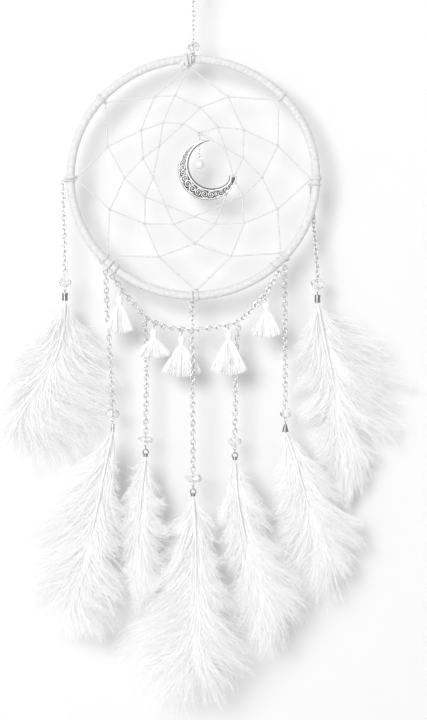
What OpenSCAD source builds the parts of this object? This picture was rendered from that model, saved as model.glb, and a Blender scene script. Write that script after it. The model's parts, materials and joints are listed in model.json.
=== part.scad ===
// Dream catcher: a lace-wrapped wire hoop with a knotted thread web, a filigree
// crescent moon and a pearl in the middle, a swag of chain with cotton tassels, and
// seven chain strands that each carry a stone chip and a plume.
// Millimetres, +Z up, front towards -Y. The origin is the middle of the hanging ring.

/* [Hoop] */
// Outer width of the wrapped hoop
hoop_w = 162; // [150:0.5:170]
// Outer height of the wrapped hoop, slightly less than its width
hoop_h = 156.2; // [146:0.5:164]
// Thickness of the hoop with its lace
hoop_tube_d = 5.4; // [4.6:0.1:6.4]
// Thickness of the wire inside the lace
hoop_wire_d = 3.4; // [2.4:0.1:3.6]
// Middle of the hoop below the hanging ring
hoop_drop = 119.5; // [117:0.5:122]

/* [Web] */
// Thickness of the web thread
thread_d = 1; // [0.8:0.1:1.2]
// Number of knots in the web, the hoop's own turns among them
web_knots = 43; // [20:1:43]
// Share of the way to the middle that each knot is pulled in
web_pull = 0.185; // [0.14:0.005:0.22]

/* [Chain] */
// Outer length of one chain link
link_l = 4.7; // [4.5:0.05:4.9]
// Outer width of one chain link
link_w = 3.3; // [3.2:0.05:3.5]
// Thickness of the chain wire
link_d = 0.8; // [0.7:0.05:0.85]

/* [Moon] */
// Outer radius of the crescent
moon_r = 18.8; // [17:0.1:20]
// Radius of the round bite that makes the crescent
moon_bite_r = 15.4; // [14:0.1:16.5]
// Thickness of the crescent
moon_t = 1.2; // [0.8:0.1:1.6]
// Diameter of the pearl
pearl_d = 6; // [5:0.1:6.5]

/* [Tassels and plumes] */
// Front-to-back depth of a tassel's skirt
tassel_t = 5.2; // [4:0.1:5.4]
// Front-to-back depth of a plume
plume_t = 6; // [4:0.1:6]
// Thickness of a plume's quill where it leaves the crimp
quill_d = 1.5; // [1:0.1:1.6]

/* [Hidden] */

gap = 0.05; // between pieces that hang in each other
wire_fn = 16;
ring_fn = 32;

// --- Hoop: an oval of four arcs that meet at 45 degrees ---
tube_r = hoop_tube_d / 2;
oval_a = hoop_w / 2 - tube_r;
oval_b = hoop_h / 2 - tube_r;
oval_step = (oval_a - oval_b) / (sqrt(2) - 1); // difference of the two radii
oval_shift = oval_step / sqrt(2); // each arc's centre from the middle
side_r = oval_a - oval_shift; // left and right arcs
cap_r = side_r + oval_step; // top and bottom arcs

// The point of the hoop's centre line where it faces angle t, moved out by out
function hoop_at(t, out = 0) =
    let (c = cos(t), s = sin(t), side = abs(c) >= abs(s))
    [side ? sign(c) * oval_shift + (side_r + out) * c : (cap_r + out) * c,
     0,
     (side ? (side_r + out) * s : -sign(s) * oval_shift + (cap_r + out) * s) - hoop_drop];

module hoop_arc(t, r, profile_out, profile_in) {
    side = abs(cos(t)) > 0.5;
    shift = side ? [cos(t) * oval_shift, 0, 0] : [0, 0, -sin(t) * oval_shift];
    translate([0, 0, -hoop_drop]) translate(shift) rotate([90, 0, 0]) rotate([0, 0, t - 45])
        rotate_extrude(angle = 90, $fn = 96) translate([r, 0]) difference() {
            circle(r = profile_out, $fn = wire_fn);
            if (profile_in > 0) circle(r = profile_in, $fn = wire_fn);
        }
}

module hoop_oval(r_out, r_in = 0) {
    for (t = [0, 180]) hoop_arc(t, side_r, r_out, r_in);
    for (t = [90, 270]) hoop_arc(t, cap_r, r_out, r_in);
}

// --- Rings and links ---
// A wire ring seen full on from the front, then turned by twist about Z
module ring(r, d, twist = 0) {
    rotate([0, 0, twist]) rotate([90, 0, 0]) rotate_extrude($fn = ring_fn)
        translate([r, 0]) circle(d = d, $fn = wire_fn);
}

module link(l = link_l, w = link_w, d = link_d) {
    bow_r = (w - d) / 2;
    straight = (l - w) / 2;
    for (m = [0, 1]) mirror([0, 0, m]) translate([0, 0, straight]) rotate([90, 0, 0])
        rotate_extrude(angle = 180, $fn = 24) translate([bow_r, 0]) circle(d = d, $fn = wire_fn);
    for (x = [-bow_r, bow_r]) translate([x, 0, -straight])
        cylinder(d = d, h = 2 * straight, $fn = wire_fn);
}

link_reach = (link_l - link_d) / 2; // from a link's middle to the middle of its end wire
link_pitch = link_l - 2 * link_d - 0.07;

// Lengths along a path of points, and the place and heading at length s
function path_length(p, n) = n <= 0 ? 0 : norm(p[n] - p[n - 1]) + path_length(p, n - 1);
function path_leg(p, s, i = 0) =
    i >= len(p) - 2 || s <= path_length(p, i + 1) ? i : path_leg(p, s, i + 1);
function path_heading(p, s) = let (i = path_leg(p, s)) (p[i + 1] - p[i]) / norm(p[i + 1] - p[i]);
function path_at(p, s) = let (i = path_leg(p, s)) p[i] + (s - path_length(p, i)) * path_heading(p, s);
// An odd number of links, so that the first and the last lie the same way
function link_count(p) = 2 * ceil(path_length(p, len(p) - 1) / link_pitch / 2) + 1;
function link_step(p) = path_length(p, len(p) - 1) / (link_count(p) - 1);
// A link's heading, smoothed over one pitch each way
function link_heading(p, i) =
    let (step = link_step(p), last = (link_count(p) - 1) * step,
         a = path_at(p, max(0, (i - 0.5) * step)), b = path_at(p, min(last, (i + 0.5) * step)))
    (b - a) / norm(b - a);
function link_place(p, i) = path_at(p, i * link_step(p));

module chain(p, twist) {
    for (i = [0 : link_count(p) - 1]) {
        h = link_heading(p, i);
        translate(link_place(p, i)) rotate([asin(-h[1]), atan2(h[0], h[2]), 0])
            rotate([0, 0, twist + 90 * (i % 2)]) link();
    }
}

module bar(a, b, d) {
    v = b - a;
    translate(a) rotate([asin(-v[1] / norm(v)), atan2(v[0], v[2]), 0])
        cylinder(d = d, h = norm(v), $fn = wire_fn);
}

// --- Hanging ring, chain and top bead ---
hang_ring_r = 5.3;
hang_ring_d = 1.4;
eye_r = 0.95;
eye_d = 0.5;
hang_chain_path = [[0, 0, -hang_ring_r + hang_ring_d / 2 + link_d / 2 + gap - link_reach],
    [0, 0, -30.2]];
// The middle of an eye that hangs in the last link
function eye_under(p) = p[len(p) - 1] - [0, 0, link_reach - link_d / 2 - eye_d / 2 - gap + eye_r];
top_eye = eye_under(hang_chain_path);
top_ring_r = 3.9;
top_ring_d = 0.7;
hoop_top = hoop_at(90);
// The ring that carries the hoop leans forward, so the bead hangs just above the lace
top_ring_at = hoop_top + [0, -0.52, 0.52];
top_ring_hook = top_ring_at + top_ring_r * [0, -sin(45), sin(45)];
pin_end_eye = top_ring_hook + [0, -sin(45), sin(45)] * (eye_r - top_ring_d / 2 - eye_d / 2 - gap);
pin_heading = (pin_end_eye - top_eye) / norm(pin_end_eye - top_eye);
pin_d = 0.6;

module hang_ring() {
    color("silver") ring(hang_ring_r, hang_ring_d);
}

module hang_chain() {
    color("silver") {
        chain(hang_chain_path, 90);
        translate(top_eye) ring(eye_r, eye_d);
        bar(top_eye + eye_r * pin_heading, pin_end_eye - eye_r * pin_heading, pin_d);
        translate(pin_end_eye) rotate([45, 0, 0]) ring(eye_r, eye_d);
    }
}

// A tumbled stone chip of about w by h by t with a bore along Z
module chip(w, h, t, turn = 0) {
    difference() {
        intersection() {
            rotate([0, turn, 0]) cube([w, t, 0.96 * h], center = true);
            rotate([12, 35 + turn, 8]) cube([1.05 * w, 1.1 * t, 1.05 * max(w, h)], center = true);
            rotate([-25, turn - 28, 14]) cube([1.1 * w, 1.35 * t, max(w, h)], center = true);
            cube([2 * w, 2 * t, h], center = true);
        }
        cylinder(d = pin_d + 0.3, h = 3 * h, center = true, $fn = wire_fn);
    }
}

module top_bead() {
    long = norm(pin_end_eye - top_eye) - 2 * eye_r - eye_d;
    mid = (top_eye + pin_end_eye) / 2 - 0.4 * pin_heading;
    color("lavenderblush") translate(mid)
        rotate([asin(-pin_heading[1]), atan2(pin_heading[0], pin_heading[2]), 0])
        chip(7.8, long - 1.3, 4.4, 10);
}

module top_ring() {
    color("silver") translate(top_ring_at) ring(top_ring_r, top_ring_d, 90);
}

// --- Hoop and web ---
module hoop_wire() {
    color("silver") hoop_oval(hoop_wire_d / 2);
}

module hoop_lace() {
    // The lace's two ends meet at a slit under the knot
    color("white") difference() {
        hoop_oval(tube_r, hoop_wire_d / 2 + gap);
        translate(hoop_at(tail_angle)) cube([0.3, 2 * hoop_tube_d, 2 * hoop_tube_d], center = true);
    }
}

// Two lace ends knotted over the top of the hoop, beside the ring
tail_angle = 93.3;
tail_at = hoop_at(tail_angle);

module lace_tails() {
    color("white") {
        translate(tail_at) rotate([0, 90 - tail_angle, 0]) ring(tube_r + 1, 1.8, 90);
        bar(tail_at + [0, -3.9, 0.5], tail_at + [-4.2, -4.9, -7], 1.8);
        bar(tail_at + [0, -3.9, 0.5], tail_at + [0.6, -4.9, -4.5], 1.6);
    }
}

anchor_angles = [91.3, 137, 180.1, 225, 271.4, 316.5, 359.4, 45];
anchor_in = -(tube_r + thread_d / 2 + gap);
middle = [0, 0, -hoop_drop];
anchors = [for (t = anchor_angles) hoop_at(t, anchor_in)];
second_turn = [hoop_at(92, anchor_in - 1.6)];
// A new knot sits on an earlier span of thread and pulls it towards the middle,
// least at the top and most at the sides
pull_less_top = 0.045;
pull_less_bottom = 0.02;
function pulled(m) =
    let (v = m - middle, up = v[2] / norm(v))
    m - (web_pull - max(up * pull_less_top, -up * pull_less_bottom)) * v;
function knots(p) =
    len(p) >= web_knots ? p : let (k = len(p) - 9) knots(concat(p, [pulled((p[k] + p[k + 1]) / 2)]));
web = knots(concat(anchors, second_turn));
last_knot = web[web_knots - 1];
thread_fn = 6;

module thread(a, b) {
    hull() for (p = [a, b]) translate(p) sphere(d = thread_d, $fn = thread_fn);
}

module tight_turn(t) {
    translate(hoop_at(t)) rotate([0, -t, 0]) rotate_extrude($fn = 14)
        translate([tube_r + thread_d / 2 + 0.12, 0]) circle(d = thread_d, $fn = thread_fn);
}

moon_loop_r = 1.3;
moon_loop_d = 0.8;
moon_y = -2;
moon_loop_at = last_knot + [0, moon_y, -moon_loop_r];

module web_thread() {
    color("white") {
        for (k = [0 : web_knots - 10]) {
            thread(web[k], web[k + 9]);
            thread(web[k + 9], web[k + 1]);
        }
        for (k = [web_knots - 9 : web_knots - 2]) thread(web[k], web[k + 1]);
        for (k = [9 : web_knots - 1]) translate(web[k]) sphere(d = 1.7, $fn = thread_fn);
        for (t = anchor_angles) tight_turn(t);
        thread(last_knot, moon_loop_at + [0, 0, moon_loop_r]);
        translate(moon_loop_at) rotate([90, 0, 0]) rotate_extrude($fn = 12)
            translate([moon_loop_r, 0]) circle(d = moon_loop_d, $fn = thread_fn);
    }
}

// --- Slack thread loops round the hoop, which the chains hang in ---
loop_r = 4.05;
loop_shift = 0.8;
loop_reach = loop_r + loop_shift;
a_angle = 181.6;
b_angle = 229;
left_angle = 232.2;
d_angle = 269.5;
right_angle = 309.6;
f_angle = 313.4;
loop_angles = [a_angle, b_angle, left_angle, d_angle, right_angle, f_angle];
inner_loop_angle = 356.4;
inner_loop_phi = 60; // where strand G hangs on its loop, behind the hoop
inner_loop_at = [-loop_shift - loop_r * cos(inner_loop_phi), loop_r * sin(inner_loop_phi)];

module slack_loop(t, shift) {
    translate(hoop_at(t, shift)) rotate([0, -t, 0]) rotate_extrude($fn = ring_fn)
        translate([loop_r, 0]) circle(d = thread_d, $fn = wire_fn);
}

module strand_loops() {
    color("white") {
        for (t = loop_angles) slack_loop(t, loop_shift);
        slack_loop(inner_loop_angle, -loop_shift);
    }
}

// --- Moon and pearl ---
moon_ring_r = 1.4;
moon_ring_d = 0.6;
moon_ring_at = moon_loop_at - [0, 0, moon_loop_r - moon_loop_d / 2 - moon_ring_d / 2 - gap
    + moon_ring_r];
bail_r = 1.1;
bail_at = moon_ring_at - [0, 0, moon_ring_r - moon_ring_d - gap + bail_r];
moon_lean = 5.4; // the bail is this far left of the crescent's middle
moon_at = bail_at + [moon_lean, 0, -sqrt(moon_r * moon_r - moon_lean * moon_lean) - 0.9];
bite_at = [2.67, 3.41]; // middle of the bite from the middle of the crescent
rim = 1.3;
blunt_angle = -12; // the lower horn ends here
end_wide = 4.6; // the lower horn's width at its end
end_round = 0.7;
flare_turn = 22; // degrees over which the lower horn widens to its end
scroll_angles = [137, 156, 176, 197, 219, 241, 263, 284, 304, 323];

// From the crescent's middle to the bite's edge along angle a
function bite_edge(a) =
    let (along = bite_at * [cos(a), sin(a)], across = bite_at * bite_at - along * along)
    along + sqrt(moon_bite_r * moon_bite_r - across);

module crescent(shrink = 0) {
    difference() {
        circle(r = moon_r - shrink, $fn = 96);
        translate(bite_at) circle(r = moon_bite_r + shrink, $fn = 96);
        rotate(blunt_angle + shrink * 3 - 3) translate([10, 0]) square([20, 30]);
    }
}

// The lower horn widens inwards to a square end
module moon_end() {
    end_a = blunt_angle - 5.5;
    flare_a = end_a - flare_turn;
    corners = [[end_a, moon_r - end_round], [end_a, moon_r - end_wide + end_round],
        [flare_a, bite_edge(flare_a) + end_round]];
    hull() for (c = corners) rotate(c[0]) translate([c[1], 0]) circle(r = end_round, $fn = 24);
}

module moon_outline() {
    difference() {
        crescent();
        crescent(rim);
    }
    moon_end();
    for (a = scroll_angles) {
        wide = moon_r - bite_edge(a) - 2 * rim;
        scroll = wide / 2 + 0.15;
        rotate(a) translate([moon_r - rim - wide / 2, 0]) difference() {
            circle(r = scroll, $fn = 32);
            if (scroll > 1.2) circle(r = scroll - 0.7, $fn = 32);
        }
    }
}

pearl_eye_r = 0.8;
pearl_eye_at = bail_at + [0, 0, -3.3];

module moon_charm() {
    color("gray") {
        translate(moon_at) rotate([90, 0, 0]) linear_extrude(moon_t, center = true) moon_outline();
        translate(bail_at) ring(bail_r, moon_ring_d);
        translate(pearl_eye_at) ring(pearl_eye_r, 0.5);
    }
}

module moon_ring() {
    color("silver") translate(moon_ring_at) ring(moon_ring_r, moon_ring_d, 90);
}

small_l = 3.2;
small_w = 2.3;
small_d = 0.45;
small_reach = (small_l - small_d) / 2;
small_pitch = small_l - 2 * small_d - gap;
pearl_links = 3;
pearl_first = pearl_eye_at - [0, 0, pearl_eye_r - 0.25 - small_d / 2 - gap + small_reach];
pearl_last = pearl_first - [0, 0, (pearl_links - 1) * small_pitch];
pearl_at = pearl_last - [0, 0, small_reach - small_d / 2 - 0.25 - gap + 1.95 + pearl_d / 2];

module pearl_chain() {
    color("silver") {
        for (i = [0 : pearl_links - 1]) translate(pearl_first - [0, 0, i * small_pitch])
            rotate([0, 0, 90 * ((i + 1) % 2)]) link(small_l, small_w, small_d);
        translate(pearl_at + [0, 0, pearl_d / 2 + 1.15]) ring(0.8, 0.5, 0);
        translate(pearl_at - [0, 0, pearl_d / 2 + 0.4]) cylinder(d = 0.5, h = pearl_d + 0.75, $fn = wire_fn);
        translate(pearl_at - [0, 0, pearl_d / 2 + 0.6]) cylinder(d = 1.2, h = 0.5, $fn = 24);
    }
}

module pearl() {
    color("white") translate(pearl_at) difference() {
        sphere(d = pearl_d, $fn = 48);
        cylinder(d = 0.7, h = 2 * pearl_d, center = true, $fn = 24);
    }
}

// --- Swag chain and tassels ---
swag_y = 1.9;
hook_drop = thread_d / 2 + link_d / 2 + 2.4 * gap - link_reach; // from a loop's wire to the first link
left_bend = [-46.5, 1.2, -189.5];
right_bend = [45, 1.2, -195];
// The first link's middle, pulled towards the first bend from its loop's wire at a
function pulled_link(a, bend) = a - hook_drop * (bend - a) / norm(bend - a);
swag_path = [pulled_link(hoop_at(left_angle, loop_reach), left_bend), left_bend,
    [-39.5, swag_y, -198.5], [-29, swag_y, -210], [-18, swag_y, -215], [-1, swag_y, -217],
    [14, swag_y, -215.5], [27.5, swag_y, -212], [36, swag_y, -205], right_bend,
    pulled_link(hoop_at(right_angle, loop_reach), right_bend)];

module swag_chain() {
    color("silver") chain(swag_path, 0);
}

hook_r = 1.5;
hook_d = 0.6;
// The lower normal of swag link i, square to its heading
function hook_normal(i) = let (h = link_heading(swag_path, i), n = [h[2], 0, -h[0]]) n / norm(n);
function hook_at(i) = link_place(swag_path, i) + hook_r * hook_normal(i);
function hook_low(i) = link_place(swag_path, i) + 2 * hook_r * hook_normal(i);

// A jump ring through swag link i, square to the link
module swag_hook(i) {
    h = link_heading(swag_path, i);
    translate(hook_at(i)) rotate([asin(-h[1]), atan2(h[0], h[2]), 0]) rotate_extrude($fn = ring_fn)
        translate([hook_r, 0]) circle(d = hook_d, $fn = wire_fn);
}

// Each tassel: [swag link, y of its skirt, height of its hem, width of its hem]
tassels = [[4, -1.9, -219.5, 19], [14, -1.9, -235, 23], [20, swag_y, -247, 27],
    [30, -1.9, -246, 25], [40, -1.9, -222, 19.5]];
tassel_loop_r = 1.2;
tassel_head_r = 2.1;

function tassel_loop_at(k) = hook_low(tassels[k][0]) - [0, 0, tassel_loop_r - hook_d - gap];
function tassel_head_at(k) =
    let (p = tassel_loop_at(k)) [p[0], tassels[k][1], p[2] - tassel_loop_r - 1.9];

// A loft of level ellipses: rows are [middle, half width, half depth], top first
module loft(rows, sides) {
    points = [for (r = rows, i = [0 : sides - 1])
        r[0] + [r[1] * cos(360 * i / sides), r[2] * sin(360 * i / sides), 0]];
    last = (len(rows) - 1) * sides;
    walls = [for (j = [0 : len(rows) - 2], i = [0 : sides - 1])
        let (a = j * sides + i, b = j * sides + (i + 1) % sides) [a, b, b + sides, a + sides]];
    top = [for (i = [sides - 1 : -1 : 0]) i];
    bottom = [for (i = [0 : sides - 1]) last + i];
    polyhedron(points, concat([top], walls, [bottom]));
}

module tassel_ring(k) {
    color("silver") swag_hook(tassels[k][0]);
}

module tassel(k) {
    loop_at = tassel_loop_at(k);
    head = tassel_head_at(k);
    skirt_top = head[2] - 2.4;
    wide = tassels[k][3] / 2;
    deep = tassel_t / 2;
    // share of the skirt's length, share of its width, share of its depth
    profile = [[0, 0.10, 0.45], [0.12, 0.20, 0.62], [0.3, 0.45, 0.85], [0.6, 0.74, 1], [1, 1, 1]];
    color("white") {
        translate(loop_at) ring(tassel_loop_r, 0.6);
        bar(loop_at - [0, 0, tassel_loop_r], head, 1.2);
        translate(head) sphere(r = tassel_head_r, $fn = 24);
        translate(head - [0, 0, 3.2]) cylinder(r = 1.5, h = 3, $fn = 24);
        loft([for (q = profile) [[head[0], head[1], skirt_top + q[0] * (tassels[k][2] - skirt_top)],
            q[1] * wide, q[2] * deep]], 14);
    }
}

// --- Strands: chain, stone chip, crimp, quill and plume ---
// Each strand: [way of the chain from its loop to its last link, chip width, height, depth]
strand_hook_c = 12;
strand_hook_e = 32;
function under_hook(i) = hook_low(i) + [0, 0, hook_d / 2 + link_d / 2 + gap - link_reach];
g_hook = hoop_at(inner_loop_angle, inner_loop_at[0]) + [0, inner_loop_at[1], hook_drop];
ways = [
    [hoop_at(a_angle, loop_reach) + [0, 0, hook_drop], [-81.8, 0, -179.7]],
    [hoop_at(b_angle, loop_reach) + [0, 0, hook_drop], [-55, 3.2, -202], [-51.5, 4, -263.5]],
    [under_hook(strand_hook_c), [-29.6, 3.4, -226], [-30.4, 3.4, -281]],
    [hoop_at(d_angle, loop_reach) + [0, 0, hook_drop], [-0.6, -2.9, -212], [-0.1, -2.9, -305.4]],
    [under_hook(strand_hook_e), [27.4, 3.4, -228], [26.6, 3.4, -281.5]],
    [hoop_at(f_angle, loop_reach) + [0, 0, hook_drop], [58.6, 3.2, -202], [58.8, 4, -263.2]],
    [g_hook, [76, 5.3, -134], [79.4, 5.3, -180.5]]];
chips = [[7.6, 6.2, 5], [8, 6, 5], [9, 4.4, 5], [10.8, 5, 5.5], [7.6, 6, 5], [7, 6.4, 5], [8, 6.6, 5]];
chip_turns = [8, -12, 5, -4, 14, -8, 20];
way_twists = [0, 0, 0, 0, 0, 0, atan2(inner_loop_at[1], -inner_loop_at[0])];
crimp_d = 4;
crimp_l = 5;
crimp_kinds = ["barrel", "sleeve", "loop", "loop", "loop", "cone", "barrel"];
crimp_loop_r = 1.7;
crimp_loop_d = 0.8;
short_barrel_l = 2;

function pin_eye(s) = eye_under(ways[s]);
function chip_at(s) = pin_eye(s) - [0, 0, eye_r + eye_d / 2 + 0.1 + chips[s][1] / 2];
function low_eye(s) = chip_at(s) - [0, 0, chips[s][1] / 2 + 0.1 + eye_d / 2 + eye_r];
function crimp_eye(s) = low_eye(s) - [0, 0, 2 * eye_r - eye_d - gap];
function crimp_top(s) = crimp_eye(s) - [0, 0, eye_r + 0.1];

module strand_chain(s) {
    color("silver") {
        chain(ways[s], way_twists[s]);
        if (s == 2) swag_hook(strand_hook_c);
        if (s == 4) swag_hook(strand_hook_e);
        translate(pin_eye(s)) ring(eye_r, eye_d, 90 - way_twists[s]);
        bar(pin_eye(s) - [0, 0, eye_r], low_eye(s) + [0, 0, eye_r], pin_d);
        translate(low_eye(s)) ring(eye_r, eye_d);
    }
}

module strand_chip(s) {
    color("lavenderblush") translate(chip_at(s)) chip(chips[s][0], chips[s][1], chips[s][2], chip_turns[s]);
}

// The metal end that holds the quill, standing on z = 0
module crimp_body(kind) {
    if (kind == "barrel") {
        cylinder(d = crimp_d - 0.4, h = crimp_l, $fn = 32);
        for (z = [0.4, crimp_l - 1]) translate([0, 0, z]) cylinder(d = crimp_d, h = 0.6, $fn = 32);
    }
    if (kind == "cone") cylinder(d1 = crimp_d + 0.4, d2 = 1.6, h = crimp_l, $fn = 32);
    if (kind == "sleeve") cylinder(d = quill_d + 1.1, h = crimp_l, $fn = 32);
    if (kind == "loop") {
        cylinder(d = crimp_d - 1, h = short_barrel_l, $fn = 32);
        translate([0, 0, crimp_l - crimp_loop_r - crimp_loop_d / 2]) ring(crimp_loop_r, crimp_loop_d);
    }
}

module strand_crimp(s) {
    kind = crimp_kinds[s];
    bore_l = kind == "loop" ? short_barrel_l : crimp_l - 1.5;
    color(kind == "sleeve" ? "silver" : "dimgray") {
        translate(crimp_eye(s)) ring(eye_r, eye_d, 90);
        translate(crimp_top(s) - [0, 0, crimp_l]) difference() {
            crimp_body(kind);
            translate([0, 0, -1]) cylinder(d = quill_d + 0.3, h = bore_l + 1, $fn = 24);
        }
    }
}

// Each plume: [depth of its layer, bends of its quill past the crimp as [x, z],
// outline of its down as [z, left edge, right edge] from the top]
plumes = [
    [13, [[-82, -225], [-92, -247], [-107, -268]],
        [[-203, -88, -78], [-210, -94, -74], [-223, -110, -62], [-239, -120, -51], [-255, -127, -47],
         [-271, -129, -49], [-287, -127, -55], [-303, -119, -76], [-312, -106, -88]]],
    [-6, [[-58, -312], [-64, -350], [-76, -392]],
        [[-287, -58, -49], [-303, -69, -46], [-319, -86, -44], [-344, -116, -43], [-367, -118, -42],
         [-383, -111, -42], [-398, -98, -43], [-412, -80, -53]]],
    [3, [[-33, -318], [-35, -334], [-35, -366]],
        [[-303, -36, -27], [-312, -43, -23], [-335, -47, -17], [-351, -47, -17], [-367, -45, -19],
         [-383, -42, -21], [-401, -36, -27]]],
    [-14, [[2, -345], [3, -375], [0, -425]],
        [[-328, -5, 5], [-335, -12, 12], [-344, -17, 17], [-357, -19, 18], [-370, -23, 20],
         [-383, -32, 24], [-398, -41, 31], [-414, -48, 38], [-430, -48, 40], [-446, -39, 30],
         [-461, -21, 11]]],
    [-6, [[27, -322], [30, -345], [46, -392]],
        [[-305, 23, 31], [-319, 18, 40], [-335, 16, 49], [-351, 16, 56], [-367, 18, 63], [-383, 21, 71],
         [-396, 24, 75], [-408, 30, 68], [-424, 41, 53]]],
    [4, [[64, -293], [69, -315], [82, -360]],
        [[-288, 56, 66], [-303, 52, 78], [-319, 50, 93], [-335, 51, 104], [-351, 55, 109],
         [-367, 60, 107], [-383, 69, 100], [-393, 79, 89]]],
    [13, [[83, -218], [88, -240], [99, -296]],
        [[-204, 76, 86], [-210, 72, 97], [-223, 66, 118], [-239, 63, 131], [-255, 64, 137],
         [-271, 67, 136], [-287, 72, 129], [-303, 81, 120], [-319, 92, 109], [-328, 98, 102]]]];
quill_rings = 12;
quill_seat = 1.7; // how far the quill's root goes into the crimp

layer_run = 18; // height over which a plume leaves its strand's own y for its layer
// A smooth step from the strand's own y to the plume's layer
function layer_y(s, z) =
    let (u = min(1, max(0, (crimp_top(s)[2] - crimp_l - z) / layer_run)), y = crimp_top(s)[1])
    y + (plumes[s][0] - y) * u * u * (3 - 2 * u);
function bezier(p, t) = p[0] * pow(1 - t, 3) + 3 * p[1] * pow(1 - t, 2) * t
    + 3 * p[2] * (1 - t) * t * t + p[3] * pow(t, 3);
function bend_points(s, bends) = let (c = crimp_top(s)) concat([[c[0], c[2] - crimp_l - 0.3]], bends);
function on_layer(s, q) = [q[0], layer_y(s, q[1]), q[1]];
function quill_row(s, t, grow) =
    [on_layer(s, bezier(bend_points(s, plumes[s][1]), t)), (quill_d / 2) * (1 - 0.6 * t) + grow,
     (quill_d / 2) * (1 - 0.6 * t) + grow];
function plume_row(s, q) = [on_layer(s, [(q[1] + q[2]) / 2, q[0]]), (q[2] - q[1]) / 2, plume_t / 2];
plume_neck_r = quill_d / 2 + 0.9; // a plume's top, round the quill
function plume_top(s) = [on_layer(s, bend_points(s, [])[0]), plume_neck_r, plume_neck_r];

module quill_shape(s, grow) {
    root = bend_points(s, plumes[s][1])[0];
    top = on_layer(s, root);
    loft(concat([[top + [0, 0, quill_seat], quill_d / 2 + grow, quill_d / 2 + grow]],
        [for (i = [0 : quill_rings]) quill_row(s, i / quill_rings, grow)],
        grow > 0 ? [[quill_row(s, 1, grow)[0] - [0, 0, 0.4], grow, grow]] : []), 8);
}

module strand_quill(s) {
    color("ivory") quill_shape(s, 0);
}

module strand_plume(s) {
    color("white") difference() {
        loft(concat([plume_top(s)], [for (q = plumes[s][2]) plume_row(s, q)]), 16);
        quill_shape(s, 0.2);
    }
}

hang_ring();
hang_chain();
top_bead();
top_ring();
hoop_wire();
hoop_lace();
lace_tails();
web_thread();
strand_loops();
moon_ring();
moon_charm();
pearl_chain();
pearl();
swag_chain();
for (k = [0 : 4]) {
    tassel_ring(k);
    tassel(k);
}
letters = ["a", "b", "c", "d", "e", "f", "g"];
for (s = [0 : 6]) {
    strand_chain(s);
    strand_chip(s);
    strand_crimp(s);
    strand_quill(s);
    strand_plume(s);
}
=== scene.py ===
"""A dream catcher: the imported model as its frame, with soft parts and finishes made here.

Lengths are in millimetres until a mesh is written, and places come from the CAD nodes' boxes.
"""
import json
import math

import bpy
import numpy as np
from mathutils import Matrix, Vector


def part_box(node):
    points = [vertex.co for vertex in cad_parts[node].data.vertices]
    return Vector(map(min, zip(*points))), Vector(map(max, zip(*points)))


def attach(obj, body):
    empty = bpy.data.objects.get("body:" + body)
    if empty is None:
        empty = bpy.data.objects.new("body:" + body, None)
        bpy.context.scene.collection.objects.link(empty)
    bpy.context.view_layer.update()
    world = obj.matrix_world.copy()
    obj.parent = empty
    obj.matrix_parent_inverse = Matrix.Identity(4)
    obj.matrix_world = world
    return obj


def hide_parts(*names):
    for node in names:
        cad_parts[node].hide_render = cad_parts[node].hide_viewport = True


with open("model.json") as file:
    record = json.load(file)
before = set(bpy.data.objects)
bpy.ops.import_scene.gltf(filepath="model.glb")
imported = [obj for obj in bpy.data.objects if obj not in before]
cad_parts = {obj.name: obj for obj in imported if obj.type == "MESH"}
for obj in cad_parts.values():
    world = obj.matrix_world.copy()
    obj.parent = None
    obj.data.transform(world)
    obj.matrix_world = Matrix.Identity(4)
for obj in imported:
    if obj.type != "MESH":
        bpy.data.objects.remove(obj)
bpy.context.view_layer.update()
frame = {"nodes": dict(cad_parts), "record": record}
nodes = frame["nodes"]
MM = 0.001
UP, RIGHT, AWAY = np.array([0, 0, 1.0]), np.array([1.0, 0, 0]), np.array([0, 1.0, 0])
SEEDS = {"lace": 11, "web": 5, "pearl": 8, "tassel": 40, "top_chip": 61, "chip": 60}


# --- Vectors, curves and meshes ---


def box_mm(node):
    """Lowest and highest corners of a CAD node, in millimetres."""
    lo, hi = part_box(node)
    return np.array(lo) / MM, np.array(hi) / MM


def unit(v):
    return v / np.maximum(np.linalg.norm(v, axis=-1, keepdims=True), 1e-9)


def bezier(controls, t):
    """Points at t of one or more cubic curves: controls (..., 4, 3), t (n,)."""
    c = np.asarray(controls, float)[..., None, :]
    t = np.asarray(t)[:, None]
    s = 1 - t
    return (
        c[..., 0, :, :] * s**3
        + 3 * c[..., 1, :, :] * s * s * t
        + 3 * c[..., 2, :, :] * s * t * t
        + c[..., 3, :, :] * t**3
    )


def resample(points, step):
    """The polyline's points at even steps."""
    points = np.asarray(points, float)
    along = np.concatenate([[0], np.cumsum(np.linalg.norm(np.diff(points, axis=0), axis=1))])
    count = max(2, int(math.ceil(along[-1] / step)) + 1)
    at = np.linspace(0, along[-1], count)
    return np.stack([np.interp(at, along, points[:, k]) for k in range(3)], axis=1)


def smooth_step(u):
    u = np.clip(u, 0, 1)
    return u * u * (3 - 2 * u)


def side_frames(paths, first=None):
    """Two unit normals along each path (count, points, 3), carried along without twist."""
    heading = unit(np.gradient(paths, axis=1))
    if first is None:
        first = np.where(np.abs(heading[:, 0, 1:2]) < 0.9, AWAY, RIGHT)
    u = np.empty_like(paths)
    last = np.broadcast_to(first, paths[:, 0].shape)
    for k in range(paths.shape[1]):
        h = heading[:, k]
        last = unit(last - np.sum(last * h, axis=1, keepdims=True) * h)
        u[:, k] = last
    return u, np.cross(heading, u)


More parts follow.
